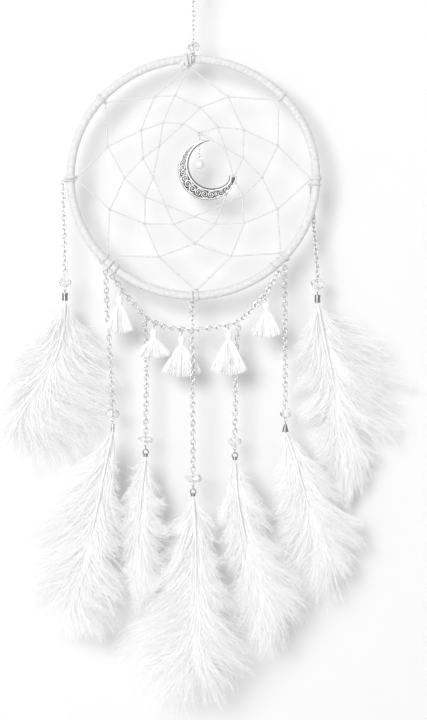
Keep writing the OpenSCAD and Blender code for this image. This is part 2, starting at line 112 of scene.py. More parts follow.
def tubes(paths, radii, sides, first=None, flat=1.0):
    """Tubes along paths (count, points, 3). radii is (count, points) or (count, points, sides)."""
    paths = np.asarray(paths, float)
    count, points, _ = paths.shape
    u, v = side_frames(paths, first)
    angle = 2 * math.pi * np.arange(sides) / sides
    radii = np.asarray(radii, float)
    if radii.ndim == 2:
        radii = radii[:, :, None]
    verts = paths[:, :, None, :] + radii[..., None] * (
        np.cos(angle)[:, None] * u[:, :, None, :] + flat * np.sin(angle)[:, None] * v[:, :, None, :]
    )
    index = np.arange(count * points * sides).reshape(count, points, sides)
    a, b = index[:, :-1], index[:, 1:]
    quads = np.stack([a, np.roll(a, -1, 2), np.roll(b, -1, 2), b], axis=-1).reshape(-1, 4)
    return verts.reshape(-1, 3), [quads]


def capped_tube(path, radii, sides, first=None, flat=1.0):
    """One tube with both ends closed."""
    verts, faces = tubes(np.asarray(path)[None], np.asarray(radii)[None], sides, first, flat)
    last = len(verts) - sides
    ends = np.array([np.arange(sides)[::-1], last + np.arange(sides)])
    return verts, faces + [ends]


def closed_tube(path, radii, sides):
    """One tube round a closed path, which doesn't repeat its first point. radii is (points, sides)."""
    path = np.asarray(path, float)
    n = len(path)
    heading = unit(np.roll(path, -1, 0) - np.roll(path, 1, 0))
    u = np.broadcast_to(AWAY, path.shape)
    u = unit(u - np.sum(u * heading, axis=1, keepdims=True) * heading)
    v = np.cross(heading, u)
    angle = 2 * math.pi * np.arange(sides) / sides
    radii = np.broadcast_to(np.asarray(radii, float).reshape(n, -1), (n, sides))
    around = np.cos(angle)[:, None] * u[:, None] + np.sin(angle)[:, None] * v[:, None]
    verts = path[:, None] + radii[..., None] * around
    index = np.arange(n * sides).reshape(n, sides)
    b = np.roll(index, -1, 0)
    quads = np.stack([index, np.roll(index, -1, 1), np.roll(b, -1, 1), b], axis=-1).reshape(-1, 4)
    return verts.reshape(-1, 3), [quads]


POLE_CUT = 0.06  # radians from each pole of a ball to its first ring


def ball(centre, radius, rings, sides, squash=(1, 1, 1)):
    """A closed ball of quads with a small flat face at each pole."""
    lat = np.linspace(POLE_CUT, math.pi - POLE_CUT, rings)
    lon = 2 * math.pi * np.arange(sides) / sides
    x, y = np.outer(np.sin(lat), np.cos(lon)), np.outer(np.sin(lat), np.sin(lon))
    shape = np.stack([x, y, np.outer(np.cos(lat), np.ones(sides))], -1)
    verts = np.asarray(centre) + radius * np.asarray(squash) * shape.reshape(-1, 3)
    index = np.arange(rings * sides).reshape(rings, sides)
    a, b = index[:-1], index[1:]
    quads = np.stack([a, b, np.roll(b, -1, 1), np.roll(a, -1, 1)], -1).reshape(-1, 4)
    return verts, [quads, np.array([index[0], index[-1][::-1]])]


def joined(parts):
    """Several (verts, faces) as one."""
    verts, faces, start = [], [], 0
    for v, fs in parts:
        verts.append(v)
        faces += [f + start for f in fs]
        start += len(v)
    return np.concatenate(verts), faces


def piece(name, shape, material, body, replaces=()):
    """A mesh object of shape (verts in mm, faces) that rides on a body."""
    verts, faces = shape
    mesh = bpy.data.meshes.new(name)
    mesh.vertices.add(len(verts))
    mesh.vertices.foreach_set("co", (np.asarray(verts) * MM).astype(np.float32).ravel())
    loops = np.concatenate([f.ravel() for f in faces]).astype(np.int32)
    sizes = np.concatenate([np.full(len(f), f.shape[1]) for f in faces])
    mesh.loops.add(len(loops))
    mesh.loops.foreach_set("vertex_index", loops)
    mesh.polygons.add(len(sizes))
    starts = np.concatenate([[0], np.cumsum(sizes)[:-1]])
    mesh.polygons.foreach_set("loop_start", starts.astype(np.int32))
    mesh.update(calc_edges=True)
    mesh.validate()
    mesh.polygons.foreach_set("use_smooth", np.full(len(mesh.polygons), True))
    made = bpy.data.objects.new(name, mesh)
    bpy.context.scene.collection.objects.link(made)
    made.data.materials.append(MATERIALS[material])
    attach(made, body)
    if replaces:
        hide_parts(*replaces)
    return made


# --- Materials ---


def new_material(name):
    material = bpy.data.materials.new(name)
    material.use_nodes = True
    return material, material.node_tree, material.node_tree.nodes["Principled BSDF"]


def noise(tree, scale, detail=3, roughness=0.5):
    place = tree.nodes.get("Texture Coordinate") or tree.nodes.new("ShaderNodeTexCoord")
    made = tree.nodes.new("ShaderNodeTexNoise")
    made.inputs["Scale"].default_value = scale
    made.inputs["Detail"].default_value = detail
    made.inputs["Roughness"].default_value = roughness
    tree.links.new(place.outputs["Object"], made.inputs["Vector"])
    return made.outputs["Fac"]


def ramp(tree, value, stops):
    """value through a colour ramp of (place, grey or colour) stops."""
    made = tree.nodes.new("ShaderNodeValToRGB")
    points = made.color_ramp.elements
    while len(points) < len(stops):
        points.new(0.5)
    for point, (place, shade) in zip(points, stops):
        point.position = place
        point.color = (*(shade if isinstance(shade, tuple) else (shade,) * 3), 1)
    tree.links.new(value, made.inputs["Fac"])
    return made.outputs["Color"]


def bump(tree, shader, height, strength, distance):
    made = tree.nodes.new("ShaderNodeBump")
    made.inputs["Strength"].default_value = strength
    made.inputs["Distance"].default_value = distance
    tree.links.new(height, made.inputs["Height"])
    tree.links.new(made.outputs["Normal"], shader.inputs["Normal"])


def mottle(tree, scale, low, high, socket, detail=3):
    """Lets a socket wander from low to high over the surface."""
    tree.links.new(ramp(tree, noise(tree, scale, detail), [(0.3, low), (0.7, high)]), socket)


METAL_GRAIN = 0.00004


def metal(name, low, high, rough_low, rough_high, scale=900):
    """Metal whose colour and gloss wander between two values, with a fine worn grain."""
    material, tree, shader = new_material(name)
    shader.inputs["Metallic"].default_value = 1
    mottle(tree, scale, low, high, shader.inputs["Base Color"])
    mottle(tree, scale * 0.6, rough_low, rough_high, shader.inputs["Roughness"])
    bump(tree, shader, noise(tree, scale * 4, 2), 0.35, METAL_GRAIN)
    return material


def soft(name, low, high, scale, rough, sheen, grain_scale, grain, glow=0.0):
    """Fibre or leather: pale, matt and fuzzy, a little mottled.

    glow is painted light: an even white emission that stands in for the light that fine down and thread pass
    on.
    """
    material, tree, shader = new_material(name)
    shader.inputs["Roughness"].default_value = rough
    shader.inputs["Sheen Weight"].default_value = sheen
    shader.inputs["Sheen Roughness"].default_value = 0.4
    if glow:
        shader.inputs["Emission Color"].default_value = (1, 1, 1, 1)
        shader.inputs["Emission Strength"].default_value = glow
    mottle(tree, scale, low, high, shader.inputs["Base Color"])
    bump(tree, shader, noise(tree, grain_scale, 4, 0.65), 0.6, grain)
    return material


def pearl_material():
    material, tree, shader = new_material("pearl")
    warm, cool = (0.80, 0.79, 0.775), (0.75, 0.752, 0.755)
    mottle(tree, 260, warm, cool, shader.inputs["Base Color"], 1)
    shader.inputs["Roughness"].default_value = 0.22
    shader.inputs["Coat Weight"].default_value = 0.6
    shader.inputs["Coat Roughness"].default_value = 0.12
    bump(tree, shader, noise(tree, 1500, 1), 0.1, 0.00002)
    return material


def quartz_material():
    material, tree, shader = new_material("quartz")
    milky, clear = (0.90, 0.90, 0.905), (0.985, 0.98, 0.98)
    cloud = ramp(tree, noise(tree, 380, 4, 0.6), [(0.35, milky), (0.65, clear)])
    rough = ramp(tree, noise(tree, 500, 2), [(0.4, 0.05), (0.7, 0.2)])
    see_through = ramp(tree, noise(tree, 300, 3), [(0.35, 0.35), (0.65, 0.9)])
    tree.links.new(cloud, shader.inputs["Base Color"])
    tree.links.new(rough, shader.inputs["Roughness"])
    tree.links.new(see_through, shader.inputs["Transmission Weight"])
    shader.inputs["IOR"].default_value = 1.54
    bump(tree, shader, noise(tree, 900, 3), 0.3, 0.00006)
    return material


MATERIALS = {
    "bright_silver": metal("bright_silver", (0.52, 0.52, 0.525), (0.86, 0.86, 0.865), 0.2, 0.36),
    "hoop_steel": metal("hoop_steel", (0.45, 0.45, 0.46), (0.6, 0.6, 0.61), 0.3, 0.45),
    "antique_silver": metal("antique_silver", (0.62, 0.62, 0.62), (0.90, 0.90, 0.89), 0.3, 0.46, 1200),
    "silver_recess": metal("silver_recess", (0.08, 0.08, 0.078), (0.24, 0.24, 0.236), 0.45, 0.6, 1400),
    "dark_crimp": metal("dark_crimp", (0.20, 0.20, 0.205), (0.46, 0.46, 0.47), 0.24, 0.4),
    "pearl_white": pearl_material(),
    "quartz": quartz_material(),
}
# Soft materials: two colours, the mottling's scale, roughness, sheen, the grain's scale and depth, and
# painted glow
for name, *look in (
    ("white_suede", (0.66, 0.657, 0.655), (0.76, 0.758, 0.756), 420, 0.9, 0.15, 2600, 0.00022),
    ("waxed_thread", (0.63, 0.63, 0.632), (0.78, 0.78, 0.782), 700, 0.6, 0.0, 4200, 0.00006),
    ("tassel_cotton", (0.88, 0.88, 0.876), (0.95, 0.95, 0.946), 500, 0.85, 0.25, 4000, 0.00005, 0.03),
    ("plume_white", (0.91, 0.91, 0.908), (0.97, 0.97, 0.968), 160, 0.75, 0.4, 3000, 0.00003, 0.065),
    ("quill_white", (0.88, 0.87, 0.855), (0.95, 0.945, 0.935), 140, 0.35, 0.0, 1800, 0.00003),
    # bright_down is a lit copy of plume_white for the front barbs: whiter, with stronger painted glow
    ("bright_down", (0.97, 0.97, 0.968), (0.995, 0.995, 0.993), 160, 0.7, 0.5, 3000, 0.00003, 0.11),
):
    MATERIALS[name] = soft(name, *look)

for subpart in frame["record"]["subparts"]:
    for place in nodes[subpart["node"]].material_slots:
        place.material = MATERIALS[subpart["material_slot"]]


# --- Camera, wall, floor and light ---

FRAME_HEIGHT = 459.0  # what the picture shows of the wall, top to bottom
CAMERA_AWAY = 1800.0
FRAME_MIDDLE = np.array([12.9, 0.0, -235.9])
SENSOR = 36
WALL_Y = 27.0
FLOOR_Z = -640.0
STAGE_HALF_WIDE, STAGE_TOP, STAGE_NEAR = 2600.0, 1500.0, -2600.0
WALL_SHADE, FLOOR_SHADE = 0.81, 0.78
KEY_PLACE, KEY_SIZE, KEY_POWER = (-1010, -2900, 542), 1500, 66
SKY_STRENGTH = 0.57


def make_camera():
    data = bpy.data.cameras.new("camera")
    camera = bpy.data.objects.new("camera", data)
    bpy.context.scene.collection.objects.link(camera)
    data.sensor_width = SENSOR
    data.lens = SENSOR * CAMERA_AWAY / FRAME_HEIGHT
    camera.location = (FRAME_MIDDLE - CAMERA_AWAY * AWAY) * MM
    camera.rotation_euler = (math.pi / 2, 0, 0)
    bpy.context.scene.camera = camera


def stage_material(name, shade, one_sided):
    """Smooth plaster, which can't be seen from behind where it is one-sided."""
    material, tree, shader = new_material(name)
    shader.inputs["Roughness"].default_value = 0.9
    mottle(tree, 6, shade - 0.01, shade, shader.inputs["Base Color"], 4)
    if one_sided:
        clear = tree.nodes.new("ShaderNodeBsdfTransparent")
        mix = tree.nodes.new("ShaderNodeMixShader")
        side = tree.nodes.new("ShaderNodeNewGeometry")
        tree.links.new(side.outputs["Backfacing"], mix.inputs["Fac"])
        tree.links.new(shader.outputs["BSDF"], mix.inputs[1])
        tree.links.new(clear.outputs["BSDF"], mix.inputs[2])
        tree.links.new(mix.outputs["Shader"], tree.nodes["Material Output"].inputs["Surface"])
    return material


def stage_plane(name, corners, material):
    mesh = bpy.data.meshes.new(name)
    mesh.from_pydata([tuple(np.array(c) * MM) for c in corners], [], [(0, 1, 2, 3)])
    made = bpy.data.objects.new(name, mesh)
    mesh.materials.append(material)
    bpy.context.scene.collection.objects.link(made)


def area_light(name, place, target, size, power):
    data = bpy.data.lights.new(name, "AREA")
    data.shape = "DISK"
    data.size = size * MM
    data.energy = power
    made = bpy.data.objects.new(name, data)
    bpy.context.scene.collection.objects.link(made)
    made.location = np.array(place) * MM
    towards = Vector(np.array(target) - np.array(place))
    made.rotation_euler = towards.to_track_quat("-Z", "Y").to_euler()


def make_stage():
    left, right, back, near = -STAGE_HALF_WIDE, STAGE_HALF_WIDE, WALL_Y, STAGE_NEAR
    low, high = FLOOR_Z, STAGE_TOP
    wall = [(left, back, low), (right, back, low), (right, back, high), (left, back, high)]
    floor = [(left, back, low), (left, near, low), (right, near, low), (right, back, low)]
    stage_plane("wall", wall, stage_material("wall_plaster", WALL_SHADE, True))
    stage_plane("floor", floor, stage_material("floor_paint", FLOOR_SHADE, False))
    area_light("key", KEY_PLACE, FRAME_MIDDLE, KEY_SIZE, KEY_POWER)
    world = bpy.data.worlds.new("studio")
    world.use_nodes = True
    sky = world.node_tree.nodes["Background"]
    sky.inputs["Color"].default_value = (1, 1, 1, 1)
    sky.inputs["Strength"].default_value = SKY_STRENGTH
    bpy.context.scene.world = world
    bpy.context.scene.view_settings.view_transform = "Standard"


# --- Quartz chips ---

CHIP_FACETS = 15
CHIP_WEAR = 16  # how sharp the edges between the facets stay
CHIP_ROUNDS, CHIP_PUSH = 12, 0.08  # how often and how hard the facets push one another apart
CHIP_NEAREST = 0.62  # the nearest facet's distance from the middle, with the farthest at 1
CHIP_RINGS, CHIP_SIDES = 40, 56


def make_chip(node, body, seed):
    """A tumbled chip that fills the CAD bead's box: flat facets that meet in worn edges."""
    lo, hi = box_mm(node)
    rng = np.random.default_rng(seed)
    way, faces = ball((0, 0, 0), 1, CHIP_RINGS, CHIP_SIDES)
    facing = unit(rng.normal(size=(CHIP_FACETS, 3)))
    for _ in range(CHIP_ROUNDS):
        # The facets push one another apart, so that they close the chip all round
        apart = facing[:, None] - facing[None]
        push = apart / (np.sum(apart**2, -1, keepdims=True) + 0.05)
        facing = unit(facing + CHIP_PUSH * np.sum(push, axis=1))
    away = rng.uniform(CHIP_NEAREST, 1.0, CHIP_FACETS)
    near = np.maximum(way @ facing.T, 0) / away
    verts = way / np.sum(near**CHIP_WEAR, axis=1, keepdims=True) ** (1 / CHIP_WEAR)
    grown = (verts - verts.min(0)) / (verts.max(0) - verts.min(0))
    piece(f"quartz_{node}", (lo + grown * (hi - lo), faces), "quartz", body, [node])


# --- Hoop: an oval of four arcs, as the CAD has it ---

lace_lo, lace_hi = box_mm("hoop_lace")
TUBE_R = (lace_hi[1] - lace_lo[1]) / 2
HOOP_MIDDLE = (lace_lo + lace_hi) / 2
OVAL_A = (lace_hi[0] - lace_lo[0]) / 2 - TUBE_R
OVAL_B = (lace_hi[2] - lace_lo[2]) / 2 - TUBE_R
OVAL_STEP = (OVAL_A - OVAL_B) / (math.sqrt(2) - 1)
OVAL_SHIFT = OVAL_STEP / math.sqrt(2)
SIDE_R = OVAL_A - OVAL_SHIFT
CAP_R = SIDE_R + OVAL_STEP


def hoop_at(degrees, out=0.0):
    """The point of the hoop's centre line that faces an angle, moved outward."""
    t = np.radians(degrees)
    c, s = np.cos(t), np.sin(t)
    side = np.abs(c) >= np.abs(s)
    x = np.where(side, np.sign(c) * OVAL_SHIFT + (SIDE_R + out) * c, (CAP_R + out) * c)
    z = np.where(side, (SIDE_R + out) * s, -np.sign(s) * OVAL_SHIFT + (CAP_R + out) * s)
    return HOOP_MIDDLE + np.stack([x, 0 * x, z], axis=-1)


def hoop_ways(degrees):
    """Outward and along the hoop, at an angle."""
    radial = unit(hoop_at(degrees, 1) - hoop_at(degrees))
    return radial, np.cross(radial, AWAY)


LACE_PITCH = 3.1  # along the hoop, from one turn of the lace to the next
LACE_STEP = 0.28  # how far a turn's edge stands over the turn before it
LACE_RISE = 0.12  # share of a turn over which its edge comes up
LACE_WANDER, LACE_UNEVEN = 0.18, 0.025  # how much the turns' places and heights differ
STEPS_A_TURN, LACE_SIDES = 12, 28


def make_lace():
    """The suede lace, wound round the wire so that each turn laps the one before."""
    length = 2 * math.pi * (OVAL_A + OVAL_B) / 2
    turns = round(length / LACE_PITCH)
    points, sides = turns * STEPS_A_TURN, LACE_SIDES
    share = np.arange(points) / points
    round_it = 2 * math.pi * np.arange(sides) / sides
    rng = np.random.default_rng(SEEDS["lace"])
    wander = LACE_WANDER * np.interp(share * turns, np.arange(turns + 1), rng.normal(size=turns + 1))
    turn = (share * turns + wander)[:, None] + round_it / (2 * math.pi)
    lap = turn % 1
    fall = (np.maximum(lap - LACE_RISE, 0) / (1 - LACE_RISE)) ** 1.2
    height = np.where(lap < LACE_RISE, smooth_step(lap / LACE_RISE), 1 - 0.9 * fall)
    each = rng.normal(size=turns + 4)[np.floor(turn).astype(int) % (turns + 2)]
    radii = TUBE_R - LACE_STEP * 0.75 + LACE_STEP * height + LACE_UNEVEN * each
    wrap = closed_tube(hoop_at(360 * share), radii, sides)
    piece("suede_wrap", wrap, "white_suede", "hoop", ["hoop_lace"])


# --- Thread ---

THREAD_R = 0.5
PLY_WAIST, PLY_LOBE = 0.80, 0.24  # the thread's radius between its two plies, and what they add


def twisted(path, radius=THREAD_R, pitch=2.6, sides=8, step=0.42):
    """A two-ply thread along a path: a tube whose two lobes turn."""
    points = resample(path, step)
    along = np.arange(len(points)) * step
    angle = 2 * math.pi * np.arange(sides) / sides
    turned = (math.pi * 2 * along / pitch)[:, None] / 2
    radii = radius * (PLY_WAIST + PLY_LOBE * np.abs(np.cos(angle[None, :] - turned)))
    from_start = np.arange(len(points))
    ends = np.minimum(1, 0.35 + np.minimum(from_start, from_start[::-1]))
    return capped_tube(points, radii * ends[:, None], sides)


COIL_STEPS = 28  # points in each turn of a coil


def coil(middle, axis, radius, turns, spread, start=0.0, wobble=0.0, seed=0):
    """A path of turns round an axis, spread along it."""
    axis = unit(np.asarray(axis, float))
    u = unit(np.cross(axis, AWAY) if abs(axis[1]) < 0.9 else np.cross(axis, RIGHT))
    v = np.cross(axis, u)
    n = int(COIL_STEPS * turns) + 2
    t = np.linspace(0, 1, n)
    angle = start + 2 * math.pi * turns * t
    r = radius + wobble * np.sin(3 * angle + seed)
    around = np.cos(angle)[:, None] * u + np.sin(angle)[:, None] * v
    return np.asarray(middle) + r[:, None] * around + np.outer((t - 0.5) * spread, axis)


ANCHOR_ANGLES = [91.3, 137, 180.1, 225, 271.4, 316.5, 359.4, 45]
ANCHOR_IN = -(TUBE_R + THREAD_R + 0.05)
LAP_STARTS = 9  # points on the hoop: the anchors and the first hitch of the next round
KNOTS = 43  # points of the web in all, with those on the hoop
PULL = 0.185  # share of the way to the middle that a knot pulls a span
PULL_LESS_TOP, PULL_LESS_BOTTOM = 0.045, 0.02  # how much less that is straight above and below it
SPAN_POINTS, SPAN_BOW = 9, 0.12  # a span's points, and how far it bows out of line


def web_points():
    """The web's knots: each new one pulls an earlier span towards a middle under the hanging ring."""
    middle = HOOP_MIDDLE * [0, 1, 1]
    found = [hoop_at(t, ANCHOR_IN) for t in ANCHOR_ANGLES] + [hoop_at(92, ANCHOR_IN - 1.6)]
    while len(found) < KNOTS:
        k = len(found) - LAP_STARTS
        halfway = (found[k] + found[k + 1]) / 2
        inward = halfway - middle
        up = inward[2] / np.linalg.norm(inward)
        pull = PULL - max(PULL_LESS_TOP * up, -PULL_LESS_BOTTOM * up)
        found.append(halfway - pull * inward)
    return found


def make_web():
    web = web_points()
    rng = np.random.default_rng(SEEDS["web"])
    parts = []

    def span(a, b):
        t = np.linspace(0, 1, SPAN_POINTS)[:, None]
        bow = np.sin(math.pi * t) * (rng.normal(size=3) * SPAN_BOW)
        parts.append(twisted(a + (b - a) * t + bow))

    for k in range(KNOTS - LAP_STARTS):
        span(web[k], web[k + LAP_STARTS])
        span(web[k + LAP_STARTS], web[k + 1])
    for k in range(KNOTS - LAP_STARTS, KNOTS - 1):
        span(web[k], web[k + 1])
    for k in range(LAP_STARTS, KNOTS):
        # A half hitch: a turn and a half of the new thread round the span it pulls
        along = web[k - LAP_STARTS + 1] - web[k - LAP_STARTS]
        hitch = coil(web[k], along, radius=0.62, turns=1.6, spread=1.3, start=rng.uniform(0, 6))
        parts.append(twisted(hitch, radius=0.4, pitch=2.2, sides=6, step=0.3))
        parts.append(ball(web[k], 0.72, 7, 10, (1, 0.9, 1)))
    for t in ANCHOR_ANGLES:
        radial, tangent = hoop_ways(t)
        # Two turns close to the lace, with the knot on the inside
        close, spin = TUBE_R + 0.6, rng.uniform(0, 6)
        turns = coil(hoop_at(t), tangent, close, turns=2.1, spread=2.0, start=spin, wobble=0.05, seed=t)
        parts.append(twisted(turns, radius=0.58, pitch=2.8, sides=8, step=0.4))
        knot = hoop_at(t, ANCHOR_IN - 0.5)
        tied = coil(knot, radial, radius=0.72, turns=1.5, spread=1.4, start=rng.uniform(0, 6))
        parts.append(twisted(tied, radius=0.42, pitch=2.2, sides=6, step=0.3))
    # The loop that the moon's jump ring hangs in
    loop_r = 1.3
    ring_lo, ring_hi = box_mm("moon_ring")
    ring_top = np.array([(ring_lo[0] + ring_hi[0]) / 2, (ring_lo[1] + ring_hi[1]) / 2, ring_hi[2]])
    loop_at = ring_top + [0, 0, 0.55]
    loop = coil(loop_at, AWAY, loop_r, turns=1.0, spread=0.1, start=math.pi / 2)
    parts.append(twisted(loop, radius=0.4, pitch=2.2, sides=6, step=0.25))
    stem = np.array([web[-1], loop_at + [0, 0, loop_r]])
    parts.append(twisted(stem, radius=0.45, pitch=2.4, sides=7, step=0.3))
    piece("web_cord", joined(parts), "waxed_thread", "hoop", ["web_thread"])


LOOP_R = 4.05
LOOP_SHIFT = 0.8  # how far a loop's middle is from the hoop's, outward or inward
OUTER_LOOP_ANGLES = [181.6, 229, 232.2, 269.5, 309.6, 313.4]
INNER_LOOP_ANGLE = 356.4


def make_strand_loops():
    """The slack thread ties round the hoop that the chains hang in."""
    places = [(t, LOOP_SHIFT) for t in OUTER_LOOP_ANGLES] + [(INNER_LOOP_ANGLE, -LOOP_SHIFT)]
    parts = []
    for n, (t, shift) in enumerate(places):
        tangent = hoop_ways(t)[1]
        loop = coil(hoop_at(t, shift), tangent, LOOP_R, turns=1.0, spread=0.05, start=0.4 * n)
        parts.append(twisted(loop, radius=0.46, pitch=2.4, sides=7, step=0.35))
    piece("strand_ties", joined(parts), "waxed_thread", "hoop", ["strand_loops"])


TAILS_ANGLE = 93.3
TAIL_POINTS = 22


def make_lace_tails():
    """The knotted ends of the lace: a flat band over the hoop and two limp strips."""
    knot = hoop_at(TAILS_ANGLE)
    tangent = hoop_ways(TAILS_ANGLE)[1]
    parts = []
    turn = coil(knot, tangent, TUBE_R + 0.95, turns=1.0, spread=0.2, start=0.3, wobble=0.1, seed=2)
    band = resample(turn, 0.5)
    parts.append(capped_tube(band, np.full(len(band), 1.25), 12, tangent, 0.5))
    lump = knot + [0, -3.7, 0.9]
    fold = resample(coil(lump, RIGHT + 0.4 * UP, radius=0.95, turns=1.3, spread=0.8, start=1.0), 0.3)
    parts.append(capped_tube(fold, np.full(len(fold), 0.75), 10))
    long_tail = [[0, 0, 0], [-1.2, -0.7, -1.6], [-3.0, -0.9, -4.2], [-4.4, -0.6, -7.6]]
    short_tail = [[0, 0, 0], [0.1, -0.8, -1.4], [0.7, -1.0, -3.4], [0.5, -0.7, -5.6]]
    share = np.linspace(0, 1, TAIL_POINTS)
    for bends, wide in ((long_tail, 1.35), (short_tail, 1.05)):
        widths = wide * np.interp(share, [0, 0.15, 0.9, 1], [0.7, 1, 1, 0.9])
        parts.append(capped_tube(bezier(lump + np.array(bends), share), widths, 12, RIGHT, 0.42))
    piece("suede_tails", joined(parts), "white_suede", "hoop", ["lace_tails"])


# --- Moon and pearl: the moon is a disc with a round bite, seen from -Y; angles run from +X to +Z ---

MOON_R = 18.8
BITE_R = 15.4
BITE_AT = np.array([2.67, 0, 3.41])
BLUNT_END = math.radians(360 - 14)  # where the lower horn ends
END_WIDE = 4.6  # the lower horn's width there
FLARE = math.radians(24)  # turn over which the lower horn widens to its end
RIM_WIDE = 1.25  # the flat band round the bite
RIM_WIRE, DARK_WIRE, BITE_WIRE, END_WIRE = 0.46, 0.22, 0.42, 0.6  # radii of the wires round the band
RIM_POINTS = 160
SPIRAL_TURNS = 1.55
SPIRAL_POINTS = 44
SPIRAL_FILL = 0.46  # a spiral's radius as a share of the room between the rims
SPIRAL_STEP = 1.85  # from one spiral's middle to the next, in radii
SPIRAL_LEAST = 0.45
RIM_ROOM = 0.9  # kept free beside the outer rim
PLATE_FRONT, PLATE_CORE, PLATE_BACK = -0.05, 0.34, 0.45  # depths of the dark plate and the bright back


def ray(t):
    """The unit way that an angle faces."""
    return np.stack([np.cos(t), 0 * t, np.sin(t)], -1)


def bite_edge(t):
    """How far the bite's edge is from the moon's middle along angle t."""
    along = ray(t) @ BITE_AT
    circle = along + np.sqrt(BITE_R**2 - (BITE_AT @ BITE_AT - along**2))
    flare = np.clip((t - BLUNT_END) / FLARE + 1, 0, 1)
    return circle + flare * (MOON_R - END_WIDE - circle)


def sharp_horn():
    """The angle of the upper horn, where the two circles meet."""
    steps = np.radians(np.linspace(60, 120, 2000))
    return steps[np.argmin(np.abs(bite_edge(steps) - MOON_R))]


def make_moon():
    lo, hi = box_mm("moon_charm")
    moon_at = np.array([lo[0] + MOON_R, (lo[1] + hi[1]) / 2, lo[2] + MOON_R])
    start = sharp_horn()
    whole_turn = BLUNT_END - start

    def band(share, across, forward):
        """A point share of the way round from the sharp horn, across from the bite to the rim."""
        t = start + whole_turn * np.asarray(share)
        inner = bite_edge(t)
        out = inner + (MOON_R - inner) * np.asarray(across)
        return moon_at + ray(t) * np.asarray(out)[..., None] - AWAY * forward

    n = RIM_POINTS
    s = np.linspace(0, 1, n)
    parts, dark = [], []
    # Back plate: dark in front, where the scrolls leave it bare, and bright behind
    ring = np.concatenate([band(s, 0.93, 0.0), band(s, 0.09, 0.0)[::-1]])
    count = len(ring)
    k = np.arange(n - 1)
    front = np.stack([k, k + 1, count - 2 - k, count - 1 - k], -1)
    back = np.stack([count + k, 2 * count - 1 - k, 2 * count - 2 - k, count + k + 1], -1)
    j = np.arange(count)
    faces = [front, back, np.stack([j, count + j, count + (j + 1) % count, (j + 1) % count], -1)]
    dark.append((np.concatenate([ring + AWAY * PLATE_FRONT, ring + AWAY * PLATE_CORE]), faces))
    parts.append((np.concatenate([ring + AWAY * PLATE_CORE, ring + AWAY * PLATE_BACK]), faces))
    # Rims: a bright and a dark wire outside, a flat bright band and a dark wire round the bite, the blunt end
    taper = np.interp(s, [0, 0.06, 1], [0.35, 1, 1])
    wide = np.maximum(MOON_R - bite_edge(start + whole_turn * s), 0.5)
    parts.append(capped_tube(band(s, 0.94, 0.1), RIM_WIRE * taper, 10, AWAY))
    dark.append(capped_tube(band(s, 1.0, 0.05), DARK_WIRE * taper, 8, AWAY))
    dark.append(capped_tube(band(s, 0.015, 0.1), BITE_WIRE * taper, 10, AWAY))
    flat_in = np.minimum(0.5, RIM_WIDE * 0.55 / wide + 0.04)
    parts.append(capped_tube(band(s, flat_in, 0.05), RIM_WIDE / 2 * taper, 14, RIGHT, 0.75))
    blunt = band(np.full(12, 1.0), np.linspace(0.02, 0.98, 12), 0.1)
    parts.append(capped_tube(blunt, np.full(12, END_WIRE), 10, AWAY))
    # Scrolls: a run of spirals between the rims, as big as the band lets them be, with leaves between
    length = whole_turn * (MOON_R - 2)
    share, flip, hubs = 0.1, 1, []
    while share < 0.95:
        inner = bite_edge(np.array([start + whole_turn * share]))[0]
        size = max(SPIRAL_FILL * (MOON_R - inner - RIM_WIDE - RIM_ROOM), SPIRAL_LEAST)
        hubs.append((share, size, flip))
        share += SPIRAL_STEP * size / length
        flip = -flip
    for share, size, flip in hubs:
        middle_in = 0.5 + 0.5 * (RIM_WIDE - 0.4) / (size / SPIRAL_FILL + RIM_WIDE + RIM_ROOM)
        hub = band(np.array([share]), np.array([middle_in]), 0.35)[0]
        angle = start + whole_turn * share
        out = np.array([math.cos(angle), 0, math.sin(angle)])
        tangent = np.array([-math.sin(angle), 0, math.cos(angle)])
        t = np.linspace(0, 1, SPIRAL_POINTS)
        wound = min(1, 0.35 + 0.36 * size)
        turn = flip * (0.6 + 2 * math.pi * SPIRAL_TURNS * wound * t)
        r = size * (1.02 - 0.8 * t)
        path = hub + r[:, None] * (np.cos(turn)[:, None] * tangent + np.sin(turn)[:, None] * out)
        stroke = np.interp(size, [0.4, 2.2], [0.18, 0.44])
        parts.append(capped_tube(path, stroke * np.linspace(1.0, 0.62, SPIRAL_POINTS), 8, AWAY))
        parts.append(ball(path[-1] - AWAY * 0.08, stroke * 1.15, 7, 10))
        leaf_r = stroke * 1.15 * np.sin(np.linspace(0.3, math.pi - 0.12, 10))
        for rim_side in (1, -1):
            # A leaf in each corner between this spiral and the next
            foot = hub + 0.93 * size * tangent + rim_side * 0.98 * size * out
            lean = tangent * flip * 0.6 - rim_side * out
            leaf = foot + np.outer(np.linspace(-1, 1, 10), 0.34 * size * lean)
            parts.append(capped_tube(leaf, leaf_r, 8, AWAY))
    # Bail and the pearl's eye, as the CAD has them
    bail_at = np.array([box_centre("moon_ring")[0], moon_at[1], hi[2] - 1.4])
    eye_at = bail_at + [0, 0, -3.3]
    for middle, ring_r, wire_r, points in ((bail_at, 1.1, 0.3, 32), (eye_at, 0.8, 0.25, 28)):
        parts.append(closed_tube(middle + ring_points(ring_r, points), np.full((points, 10), wire_r), 10))
    piece("moon_filigree", joined(parts), "antique_silver", "moon", ["moon_charm"])
    plate = piece("moon_plate", joined(dark), "antique_silver", "moon")
    plate.data.materials[0] = MATERIALS["silver_recess"]


def box_centre(node):
    lo, hi = box_mm(node)
    return (lo + hi) / 2


def ring_points(radius, count):
    return radius * ray(2 * math.pi * np.arange(count) / count)


PEARL_LUMP = 0.05  # how far the pearl is from round, at most, for each of its four waves


